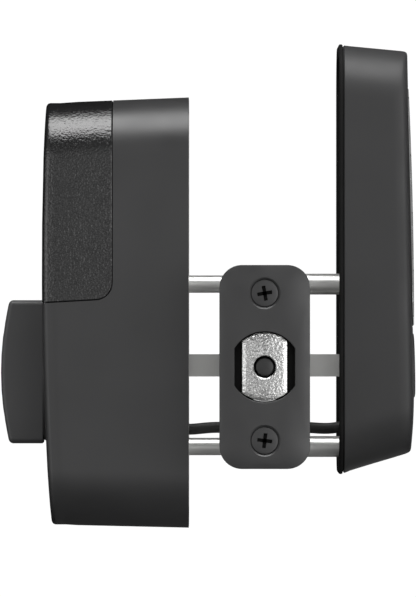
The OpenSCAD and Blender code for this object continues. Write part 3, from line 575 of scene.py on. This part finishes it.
def key_cylinder():
    face, r = 22.2, CYLINDER_R

    def tilted(s, a, b):
        """The rim keeps to the slope of the housing's front."""
        return (s - (b + r) * tan(LEAN) if s > 10 else s, a, b)

    bm = bmesh.new()
    lathe(bm, [(3.4, 14), (5.3, 14), (5.3, r), (face - 1.0, r), (face - 0.6, r - 0.04),
               (face - 0.25, r - 0.22), (face - 0.06, r - 0.55), (face, r - 0.95),
               (face, 6.85), (face - 0.15, 6.7), (face - 1.3, 6.7), (face - 1.3, 6.05),
               (3.4, 6.05)], tilted, 96)
    o = finish_mesh("cylinder_body", bm, "black_satin", "base", ["cylinder_shell"], 35)
    bm = bmesh.new()
    lathe(bm, [(3.5, 6), (face - 1.4, 6), (face - 1.4, 6.45), (face - 0.75, 6.45),
               (face - 0.5, 6.25), (face - 0.5, 4.6), (face - 0.7, 4.2), (face - 0.7, 0.4)],
          along_x, 96)
    plug = finish_mesh("cylinder_turning_plug", bm, "steel", "plug", ["cylinder_plug"], 35)
    slot = rounded(-0.9, 0.9, -3.2, 4.2, 0.5, 4)
    cut(plug, solid(prism(slot, lambda p, x: (x, *p), 6, face + 1)))
    pin = bmesh.new()
    lathe(pin, [(1.0, 0.9), (1.2, 1.2), (3.6, 1.2)], lambda s, a, b: (s, a, b - 4.6), 24)
    finish_mesh("cylinder_drive_pin", pin, "steel", "plug")
    crease(plug, 35)
    add_bevel(plug, 0.12, 2, 50)
    return o


# ---------------------------------------------------------------- latch

def in_edge(depth, a, b):
    """A point at that depth behind the face plate's front, a along X and b along Z."""
    return (LATCH_X + a, EDGE + depth, b)


def clipped(r, half, inset=0.0, n=28):
    """A circle with its two sides cut flat, as the bolt's outline and the hole round it."""
    r, half = r - inset, half - inset
    a0 = atan2(sqrt(r * r - half * half), half)
    arc = [a0 + (pi - 2 * a0) * i / n for i in range(n + 1)]
    return [(r * cos(a), r * sin(a)) for a in arc] + [(-r * cos(a), -r * sin(a)) for a in arc]


def contour_walls(bm, shape, profile):
    """Walls along one contour: profile gives (depth, inset) pairs from front to back."""
    return loft(bm, [[in_edge(d, *p) for p in shape(i)] for d, i in profile])


def face_plate():
    bm = bmesh.new()
    w, h, r = 25.4, 57.15, 6.35
    walls = [contour_walls(bm, lambda i: rounded(-w / 2 + i, w / 2 - i, -h / 2 + i, h / 2 - i,
                                                 r - i, 12),
                           [(0, 0.3), (0.09, 0.09), (0.3, 0), (1.6, 0)]),
             contour_walls(bm, lambda i: clipped(9.95, 8.5, i),
                           [(0, -0.15), (0.15, 0), (1.6, 0)])]
    for z in (-20.65, 20.65):
        walls.append(contour_walls(bm, lambda i, z=z: circle(4.35 - i, 0, z, 48),
                                   [(0, -0.1), (0.1, 0), (1.5, 1.9), (1.6, 1.9)]))
    fill(bm, *(w[0] for w in walls))
    fill(bm, *(w[-1] for w in walls))
    return finish_mesh("plate_face", bm, "black_satin", "base", ["face_plate"], 30)


def backing_plate():
    bm = bmesh.new()
    w, h, r = 24.6, 56.35, 5.95
    walls = [contour_walls(bm, lambda i: rounded(-w / 2 + i, w / 2 - i, -h / 2 + i, h / 2 - i,
                                                 r - i, 12), [(1.7, 0.1), (1.8, 0), (3.6, 0)]),
             contour_walls(bm, lambda i: clipped(BOLT_H / 2 + 0.12, BOLT_W / 2 + 0.12, i),
                           [(1.7, -0.2), (1.9, 0), (3.6, 0)])]
    for z in (-20.65, 20.65):
        walls.append(contour_walls(bm, lambda i, z=z: circle(2.4, 0, z, 32), [(1.7, 0), (3.6, 0)]))
    fill(bm, *(w[0] for w in walls))
    fill(bm, *(w[-1] for w in walls))
    # Painted shade: the backing plate is coloured near black to stand for the shade in the hole round
    # the bolt.
    return finish_mesh("plate_backing", bm, "painted_shade_black", "base", ["latch_backing_plate"], 30)


def deadbolt():
    bm = bmesh.new()

    def nose(shape, profile):
        """Walls as contour_walls makes, on the nose's slight crown."""
        return loft(bm, [[in_edge(d + (0.25 * (2 * p[0] / BOLT_W) ** 2 if d < 5 else 0), *p)
                          for p in shape(i)] for d, i in profile])

    outer = nose(lambda i: clipped(BOLT_H / 2, BOLT_W / 2, i),
                 [(-0.1, 0.95), (-0.06, 0.82), (0.18, 0.12), (0.4, 0), (36, 0)])
    hole = nose(lambda i: circle(3.1 - i, n=48), [(-0.1, -0.3), (-0.02, -0.2), (0.2, 0), (26, 0)])
    bm.faces.new(hole[-1])
    planes = [((LATCH_X + x, 0, 0), (1, 0, 0)) for x in range(-5, 6)]
    for v in slice_faces(bm, set(fill(bm, outer[0], hole[0])), planes):
        v.co.y = EDGE - 0.1 + 0.25 * ((v.co.x - LATCH_X) / (BOLT_W / 2)) ** 2
    bm.faces.new(outer[-1])
    o = finish_mesh("bolt_dead", bm, "zinc_cast", "deadbolt", ["bolt"], 12)
    slot = rounded(-0.7, 2.6, -3.2, 10, 0.2, 3)
    cut(o, solid(prism(slot, lambda p, d: in_edge(d, *p), 29.8, 37)))
    crease(o, 25)
    bm = bmesh.new()
    lathe(bm, [(0.35, 0.3), (0.3, 1.9), (0.45, 2.35), (0.85, 2.6), (2.5, 2.75), (24, 2.95)],
          lambda s, a, b: in_edge(s, a, b), 48)
    finish_mesh("bolt_hard_pin", bm, "pin_steel", "deadbolt", ["bolt_pin"], 30)
    return o


def cross_recess(place, top, depth, turn):
    """A cross-shaped solid that narrows as it goes in."""
    bm = bmesh.new()
    length, low_length = 2.1, 1.2
    for a in (radians(turn), radians(turn + 90)):
        rings = []
        for d, reach, width in ((top, length, 0.52), (0.3, length, 0.52), (depth, low_length, 0.35)):
            box = [(-reach, -width), (reach, -width), (reach, width), (-reach, width)]
            rings.append([place(d, u * cos(a) - v * sin(a), u * sin(a) + v * cos(a))
                          for u, v in box])
        made = loft(bm, rings)
        bm.faces.new(made[0])
        bm.faces.new(made[-1])
    return bm


def face_screws():
    """Two countersunk cross-head screws, one object, with near-black pieces painted as shade in their
    recesses and round their heads.
    """
    parts, shade_pieces = [], []
    for z, turn in ((20.65, 10), (-20.65, -7)):
        def place(d, a, b, z=z):
            return in_edge(d, a, b + z)
        bm = bmesh.new()
        lathe(bm, [(0.1, 0.3), (0.1, 3.3), (0.18, 3.65), (0.4, 3.82), (0.6, 3.82), (2.0, 2.2),
                   (17, 2.1), (19.9, 0.3)], place, 56)
        o = solid(bm)
        for k in (0, 1):
            piece = cross_recess(place, -1.0, 1.9, turn + 90 * k)
            bmesh.ops.delete(piece, geom=piece.faces[len(piece.faces) // 2:], context="FACES")
            cut(o, solid(piece))
        parts.append(o)
        # Painted shade: a near-black cross inside each recess and a near-black ring in the gap round
        # the head.
        shade_piece = cross_recess(place, 0.6, 1.88, turn)
        lathe_ring(shade_piece, [(0.42, 3.84), (0.42, 4.18), (0.6, 4.18), (0.6, 3.84)], place, 48)
        shade_pieces.append(shade_piece)
    bm = bmesh.new()
    for o in parts:
        bm.from_mesh(o.data)
        bpy.data.objects.remove(o)
    bmesh.ops.scale(bm, vec=(1 / MM,) * 3, verts=bm.verts)
    finish_mesh("screws_face", bm, "black_satin", "base", ["face_screws"], 32, bevel=0.08)
    for k, bm in enumerate(shade_pieces):
        finish_mesh(f"screw_recess_painted_shade_{k}", bm, "painted_shade_black", "base")


def latch_tube():
    bm = bmesh.new()
    lathe_ring(bm, [(-56.3, 12.0), (-56.1, 12.2), (-18.3, 12.2), (-18.0, 12.0), (-18.0, 10.8),
                    (-18.3, 10.6), (-56.3, 10.6)], lambda s, a, b: (LATCH_X + a, s, b))
    return finish_mesh("tube_latch", bm, "steel", "base", ["latch_tube"], 35)


def lathe_ring(bm, profile, turn, n=96):
    """Revolves a closed section."""
    rings = [[turn(s, r * cos(2 * pi * i / n), r * sin(2 * pi * i / n)) for i in range(n)]
             for s, r in profile + profile[:1]]
    loft(bm, rings)


# ---------------------------------------------------------------- inside unit

ROWS = [FOOT - 6, FOOT, FOOT + 6, 40.0, 0.0, -15.0]


def inner_front(z):
    """The crowned front of the inside unit."""
    return FRONT + (z - 28) ** 2 / 2080


def inner_outline(x, inset):
    reach = (INSIDE - x) / (INSIDE - FRONT)
    top = INNER_TOP - 1.65 * reach
    low = INNER_LOW + 0.95 * reach
    half = INNER_W / 2
    rows = [z for z in ROWS]
    return rounded(-half + inset, half - inset, low + inset, top - inset, INNER_R - inset, 14, rows)


def inner_skin(bm, thick, x_open):
    """The inside unit's outer form drawn in by thick, from x_open to the front.

    Its front edge is rounded more at the two sides than at the top and the bottom.
    """
    small, large = 1.2 - thick * 0.2, 1.9 - thick * 0.4
    rings = []
    for x in (x_open, x_open - 7, x_open - 14, SEAM + 1, SEAM - 1, FRONT + 10):
        rings.append([(x, y, z) for y, z in inner_outline(x, thick)])

    def rounding(a, more, drawn):
        """One ring of the rounded edge, at the angle a from the side to the front.

        Before it the two sides are drawn in a little, over the last millimetres.
        """
        ring = []
        place = FRONT + thick + small * (1 - sin(a))
        for (y, z), (y1, z1) in zip(inner_outline(place, thick), inner_outline(place, thick + 1)):
            out_y, out_z = y - y1, z - z1
            r = small + (large - small) * out_y ** 2
            inset = r * (1 - cos(a)) + drawn * out_y ** 2
            ring.append((inner_front(z) + thick + r * (1 - sin(a)) + more, y - out_y * inset,
                         z - out_z * inset))
        return ring

    for more, drawn in ((2.8, 0.0), (2.1, 0.015), (1.4, 0.06), (0.7, 0.14)):
        rings.append(rounding(0, more, drawn))
    for i in range(0, 11):
        rings.append(rounding(pi / 2 * i / 10, 0.0, 0.25))
    last, cz = rings[-1], 15.0
    for f in (0.97, 0.9, 0.8, 0.7, 0.6, 0.5, 0.4, 0.3, 0.2, 0.1, 0.03):
        rings.append([(inner_front(cz + f * (z - cz)) + thick, f * y, cz + f * (z - cz))
                      for x, y, z in last])
    made = loft(bm, rings)
    bm.faces.new(made[-1])
    bm.faces.new(made[0])
    return made


def cover_side(g, n=8):
    """Side view (x, z) of the space that the battery cover fills, drawn in by g.

    Its foot rises a little from the front towards the door.
    """
    rise = 0.055
    r, x = 5 - g, SEAM - g
    z = FOOT + g + rise * (x - r - FRONT)
    corner = [(x - r + r * sin(pi / 2 * i / n), z + r - r * cos(pi / 2 * i / n))
              for i in range(n + 1)]
    return [(x - 70, z - rise * (70 - r)), *corner, (x, 120), (x - 70, 120)]


def side_prism(outline):
    return solid(prism(outline, lambda p, y: (p[0], y, p[1]), -60, 60))


def inner_shells():
    bm = bmesh.new()
    inner_skin(bm, 0, INSIDE)
    house = finish_mesh("housing_inside", bm, "inner_metal", "base", ["inner_housing"], 30)
    hollow = bmesh.new()
    inner_skin(hollow, 2.2, INSIDE + 2)
    hollow = solid(hollow)
    cut(hollow, side_prism(cover_side(-1.8)))
    pad = bmesh.new()
    lathe(pad, [(FRONT, 0.5), (FRONT, 21.2), (FRONT + 0.1, 21.4), (FRONT + 0.3, 21.5),
                (FRONT + 2.1, 21.5), (FRONT + 2.1, 0.5)], along_x, 128)
    cut(house, solid(pad), "UNION")
    cut(house, hollow)
    cut(house, side_prism(cover_side(0.0)))
    cut(house, solid(prism(circle(8, n=64), lambda p, x: (x, *p), FRONT - 3, FRONT + 6)))
    for y, z in ((-25.5, 30), (25.5, 30), (-25.5, 60), (25.5, 60)):
        cut(house, solid(prism(circle(2.2, y, z, 32), lambda p, x: (x, *p), SEAM - 1, SEAM + 4)))
    crease(house, 30)
    add_bevel(house, 0.4, 2, 50, False)
    even_out(house)
    for s in (-1, 1):
        bm = bmesh.new()
        profile = [(SEAM + 0.1, 30.3), (SEAM + 0.1, 31.3), (SEAM - 2, 31.3), (SEAM - 2, 32.3),
                   (SEAM - 3, 32.3), (SEAM - 3, 30.3)]
        made = loft(bm, [[(x, s * y, z) for x, y in profile] for z in (26, 56)])
        bm.faces.new(made[0])
        bm.faces.new(made[1])
        finish_mesh(f"rail_{'left' if s < 0 else 'right'}", bm, "black_metal", "base",
                    (), 30, bevel=0.15)

    bm = bmesh.new()
    inner_skin(bm, 0, INSIDE)
    cover = finish_mesh("cover_battery", bm, "cover_plastic", "cover", ["battery_cover"], 30)
    hollow = bmesh.new()
    inner_skin(hollow, 1.8, INSIDE + 2)
    cut(cover, solid(hollow))
    cut(cover, side_prism(cover_side(0.2)), "INTERSECT")
    crease(cover, 30)
    add_bevel(cover, 0.25, 2, 50, False)
    # Painted shade: a thin near-black sheet in the seam between the battery cover and the housing, for
    # the shade in that gap.
    edge = cover_side(0.005)[:-1] + cover_side(0.19)[-2::-1]
    bm = bmesh.new()
    inner_skin(bm, 0.7, INSIDE)
    seam_shade = finish_mesh("seam_painted_shade", bm, "painted_shade_black", "base")
    cut(seam_shade, side_prism(edge), "INTERSECT")
    for s in (-1, 1):
        bm = bmesh.new()
        box = rounded(30.4, 31.2, FOOT - 1, FOOT + 1.3, 0.2, 3)
        made = loft(bm, [[(x, s * y, z) for y, z in box] for x in (SEAM - 16, SEAM - 4.6)])
        bm.faces.new(made[0])
        bm.faces.new(made[1])
        finish_mesh(f"rib_{'left' if s < 0 else 'right'}", bm, "black_metal", "base", (), 30)
    return house, cover


def thumbturn():
    bm = bmesh.new()
    base = FRONT - 0.04
    fillet, corner = 1.1, 1.5

    def end(z):
        return TIP + (z + TURN_DROP) ** 2 / 170

    def outline(inset):
        return rounded(-TURN_W / 2 + inset, TURN_W / 2 - inset, -TURN_L / 2 - TURN_DROP + inset,
                       TURN_L / 2 - TURN_DROP - inset, corner - inset, 6, (-12, -7, -2, 3, 8))

    rings = [[(base, y, z) for y, z in outline(0.25)],
             [(base - 0.25, y, z) for y, z in outline(0)]]
    for f in (0.03, 0.35, 0.7, 0.97):
        rings.append([(base - 0.25 + f * (end(z) + fillet - base + 0.25), y, z)
                      for y, z in outline(0)])
    for i in range(0, 7):
        a = pi / 2 * i / 6
        rings.append([(end(z) + fillet * (1 - sin(a)), y, z)
                      for y, z in outline(fillet * (1 - cos(a)))])
    rim = outline(fillet)
    for f in (0.9, 0.75, 0.6, 0.45, 0.3, 0.15, 0.04):
        rings.append([(end(f * (z + TURN_DROP) - TURN_DROP), f * y,
                       f * (z + TURN_DROP) - TURN_DROP) for y, z in rim])
    made = loft(bm, rings)
    bm.faces.new(made[0])
    bm.faces.new(made[-1])
    # Painted light: the thumbturn gets a lighter copy of the housing's painted metal, to offset the
    # shade that falls on it.
    o = finish_mesh("turn_piece", bm, "turn_metal_with_painted_light", "spindle", ["thumbturn"], 30)
    screw_x = TIP + 7.6
    hole = [(screw_x + 1.6 * cos(pi * i / 16), 1.6 * sin(pi * i / 16)) for i in range(32)]
    cut(o, solid(prism(hole, lambda p, z: (p[0], p[1], z), -30, -6)))
    crease(o, 30)
    return o


# ---------------------------------------------------------------- inside the units

CABLE = [(10.6, 17, 13.1), (10.45, 17, 8), (9.8, 17, 0), (8.6, 16, -9), (5.4, 13.8, -16),
         (0, 13, -18), (-10, 13, -18), (INSIDE + 8, 13, -18), (INSIDE - 4, 13.6, -18),
         (INSIDE - 8, 19, -14.5), (INSIDE - 9.4, 25, -7), (INSIDE - 9.6, 27, 2),
         (INSIDE - 10, 26, 11), (INSIDE - 11, 20.6, 16.2), (INSIDE - 11.8, 17.6, 18.6),
         (INSIDE - 12, 17.05, 21.05)]
PINION_Y, PINION_Z = -14.28, -25.57


def wire(s):
    """The route of one motor wire, above (1) or below (-1) the other."""
    return [(FRONT + 8, PINION_Y - 6, PINION_Z + s * 1.6),
            (FRONT + 8, PINION_Y - 7.6, PINION_Z + s * 1.6),
            (FRONT + 9.5, PINION_Y - 11.6, PINION_Z + 5 + s * 1.4),
            (INSIDE - 28, -29.4, -12 + s), (INSIDE - 23.4 + s * 0.7, -29.6, -1),
            (INSIDE - 18 + s * 0.7, -29.6, 10), (INSIDE - 14 + s * 0.7, -28, 20),
            (INSIDE - 12.6, -22, 26 + s), (INSIDE - 12.6, -15, 27 + s),
            (INSIDE - 12.6, -12, 27 + s)]


def carried_nodes():
    """The CAD nodes that show as they are get a finish from their slot and eased edges."""
    looks = {s["node"]: s["material_slot"] for s in frame["record"]["subparts"]}
    fine = {"keypad_board", "control_board", "board_screws", "outer_plate_screws",
            "cylinder_screws", "housing_screws", "key_pins", "driver_pins"}
    for name, o in NODES.items():
        look = looks[name]
        o.data.materials.clear()
        o.data.materials.append(LOOKS[look])
        w = o.modifiers.new("join", "WELD")
        w.merge_threshold = 0.000002
        o.data.shade_smooth()
        o.data.set_sharp_from_angle(angle=radians(30))
        if name not in {"motor_pinion", "idler_gear", "drive_gear", "batteries"}:
            add_bevel(o, 0.08 if name in fine else 0.18, 2, 45)
            even_out(o)


# ---------------------------------------------------------------- studio

def fade(m):
    """Lets the floor turn as white as the backdrop towards its rim."""
    t = m.node_tree
    shader = t.nodes["Principled BSDF"]
    where = t.nodes.new("ShaderNodeTexCoord").outputs["Object"]
    far = t.nodes.new("ShaderNodeVectorMath")
    far.operation = "LENGTH"
    t.links.new(where, far.inputs[0])
    r = t.nodes.new("ShaderNodeMapRange")
    r.interpolation_type = "SMOOTHSTEP"
    r.inputs["From Min"].default_value, r.inputs["From Max"].default_value = 0.3, 1.3
    r.inputs["To Min"].default_value, r.inputs["To Max"].default_value = 0.25, 1.0
    t.links.new(far.outputs["Value"], r.inputs["Value"])
    shader.inputs["Emission Color"].default_value = (1, 1, 1, 1)
    t.links.new(r.outputs["Result"], shader.inputs["Emission Strength"])


def studio():
    bm = bmesh.new()
    made = [bm.verts.new((1600 * cos(2 * pi * i / 96), 1600 * sin(2 * pi * i / 96), -130))
            for i in range(96)]
    bm.faces.new(made)
    floor = solid(bm)
    floor.name = "floor"
    floor.data.materials.append(material("floor", (0.86, 0.86, 0.85), 0.7, tint=0.01, tint_scale=3,
                                         grains=((40, 0.02),)))
    fade(floor.data.materials[0])
    floor.visible_diffuse = floor.visible_glossy = False

    bm = bmesh.new()
    bmesh.ops.create_icosphere(bm, subdivisions=4, radius=5600)
    dome = solid(bm)
    dome.name = "backdrop"
    white = bpy.data.materials.new("backdrop_white")
    white.use_nodes = True
    white.node_tree.nodes["Principled BSDF"].inputs["Base Color"].default_value = (0, 0, 0, 1)
    white.node_tree.nodes["Principled BSDF"].inputs["Emission Color"].default_value = (1, 1, 1, 1)
    white.node_tree.nodes["Principled BSDF"].inputs["Emission Strength"].default_value = 1.0
    dome.data.materials.append(white)
    dome.visible_diffuse = dome.visible_glossy = dome.visible_shadow = False
    dome.visible_transmission = False
    room()
    lamp("softbox", (0, -436, 1341), 1000, 1500, 34)
    for name, x in (("fill_left", -1200), ("fill_right", 1200)):
        lamp(name, (x, 650, 420), 900, 900, 11).visible_glossy = False
    camera()


# Brightness of the room by the angle in degrees, measured in the YZ plane from the camera's
# side (0) over the top (90) to behind the lock (180).
ROOM = [(-180, 0.12), (-170, 0.12), (-160, 0.1), (-90, 0.12), (-35, 0.14), (-12, 0.35), (0, 0.69),
        (9, 0.67), (16, 0.2), (33, 0.1), (50, 0.07), (100, 0.03), (160, 0.01), (171, 0.08), (180, 0.08)]
# How much of it there is from the left side (-1) to the right side (1).
ACROSS = [(-1, 1.6), (-0.82, 3.4), (-0.5, 3.4), (-0.3, 1.2), (-0.15, 0.7), (0, 0.95),
          (0.15, 1.4), (0.3, 2.9), (0.45, 6.5), (0.88, 6.5), (0.97, 3.0), (1, 0.4)]

BEHIND = [(-1, 0.12), (-0.2, 0.12), (-0.05, 0.3), (0.02, 0.3), (0.06, 3.4), (0.2, 3.4),
          (0.34, 0.12), (1, 0.12)]


def room():
    """Light from all round: a dim room with a white wall behind and a soft band in front."""
    world = bpy.data.worlds.new("studio")
    bpy.context.scene.world = world
    world.use_nodes = True
    t = world.node_tree

    def math(kind, *values):
        n = t.nodes.new("ShaderNodeMath")
        n.operation = kind
        for socket, value in zip(n.inputs, values):
            if isinstance(value, (int, float)):
                socket.default_value = value
            else:
                t.links.new(value, socket)
        return n.outputs[0]

    def ramp(where, stops, low, high, most=1.0):
        """A smooth run of levels: stops are (place between low and high, level)."""
        n = t.nodes.new("ShaderNodeValToRGB")
        points = n.color_ramp.elements
        while len(points) > 1:
            points.remove(points[-1])
        for i, (at, level) in enumerate(stops):
            at = (at - low) / (high - low)
            stop = points[0] if i == 0 else points.new(at)
            stop.position = at
            stop.color = (level / most, level / most, level / most, 1)
        t.links.new(where, n.inputs["Fac"])
        return math("MULTIPLY", n.outputs["Color"], most)

    split = t.nodes.new("ShaderNodeSeparateXYZ")
    t.links.new(t.nodes.new("ShaderNodeTexCoord").outputs["Generated"], split.inputs[0])
    angle = math("ARCTAN2", split.outputs["Z"], math("MULTIPLY", split.outputs["Y"], -1.0))
    round_it = ramp(math("MULTIPLY_ADD", angle, 1 / (2 * pi), 0.5), ROOM, -180, 180)
    in_front = ramp(math("MULTIPLY_ADD", split.outputs["X"], 0.5, 0.5), ACROSS, -1, 1, 4.0)
    behind = ramp(math("MULTIPLY_ADD", split.outputs["X"], 0.5, 0.5), BEHIND, -1, 1, 4.0)
    is_behind = math("GREATER_THAN", split.outputs["Y"], 0.0)
    level = math("ADD", math("MULTIPLY", behind, is_behind),
                 math("MULTIPLY", in_front, math("SUBTRACT", 1.0, is_behind)))
    t.links.new(math("MULTIPLY", round_it, level), t.nodes["Background"].inputs["Strength"])
    t.nodes["Background"].inputs["Color"].default_value = (1, 1, 1, 1)


def lamp(name, place, height, width, watts):
    """A soft rectangular lamp aimed at the middle of the lock."""
    d = bpy.data.lights.new(name, "AREA")
    d.shape, d.size, d.size_y, d.energy = "RECTANGLE", width * MM, height * MM, watts
    o = bpy.data.objects.new(name, d)
    o.location = [v * MM for v in place]
    o.rotation_euler = (Vector((-0.03, 0, 0.02)) - o.location).to_track_quat("-Z", "Y").to_euler()
    bpy.context.scene.collection.objects.link(o)
    return o


def camera():
    """Level, looking straight at the edge of the door from 2.4 m."""
    d = bpy.data.cameras.new("camera")
    d.sensor_width = 36
    distance, seen_height = 2400, 167.16
    d.lens = d.sensor_width * distance / seen_height
    d.clip_start, d.clip_end = 0.05, 50
    o = bpy.data.objects.new("camera", d)
    o.location = (-37.23 * MM, (EDGE - distance) * MM, 19.18 * MM)
    o.rotation_euler = (pi / 2, 0, 0)
    bpy.context.scene.collection.objects.link(o)
    bpy.context.scene.camera = o
    bpy.context.scene.view_settings.view_transform = "Standard"


outer_seal()
outer_housing()
keypad_lens()
for i, key in enumerate(KEYS):
    key_cap(key, i)
    if key in FIGURES:
        figure(key, i, FIGURES[key])
signs()
key_cylinder()
face_plate()
backing_plate()
deadbolt()
face_screws()
latch_tube()
inner_shells()
thumbturn()
tube("cable_link", CABLE, 1.6, "cord_black", "base", ["link_cable"])
tube("wire_motor_red", wire(1), 0.5, "wire_jacket", "base", ["motor_wires"])
tube("wire_motor_black", wire(-1), 0.5, "wire_black", "base", ["motor_wires"])
carried_nodes()
studio()
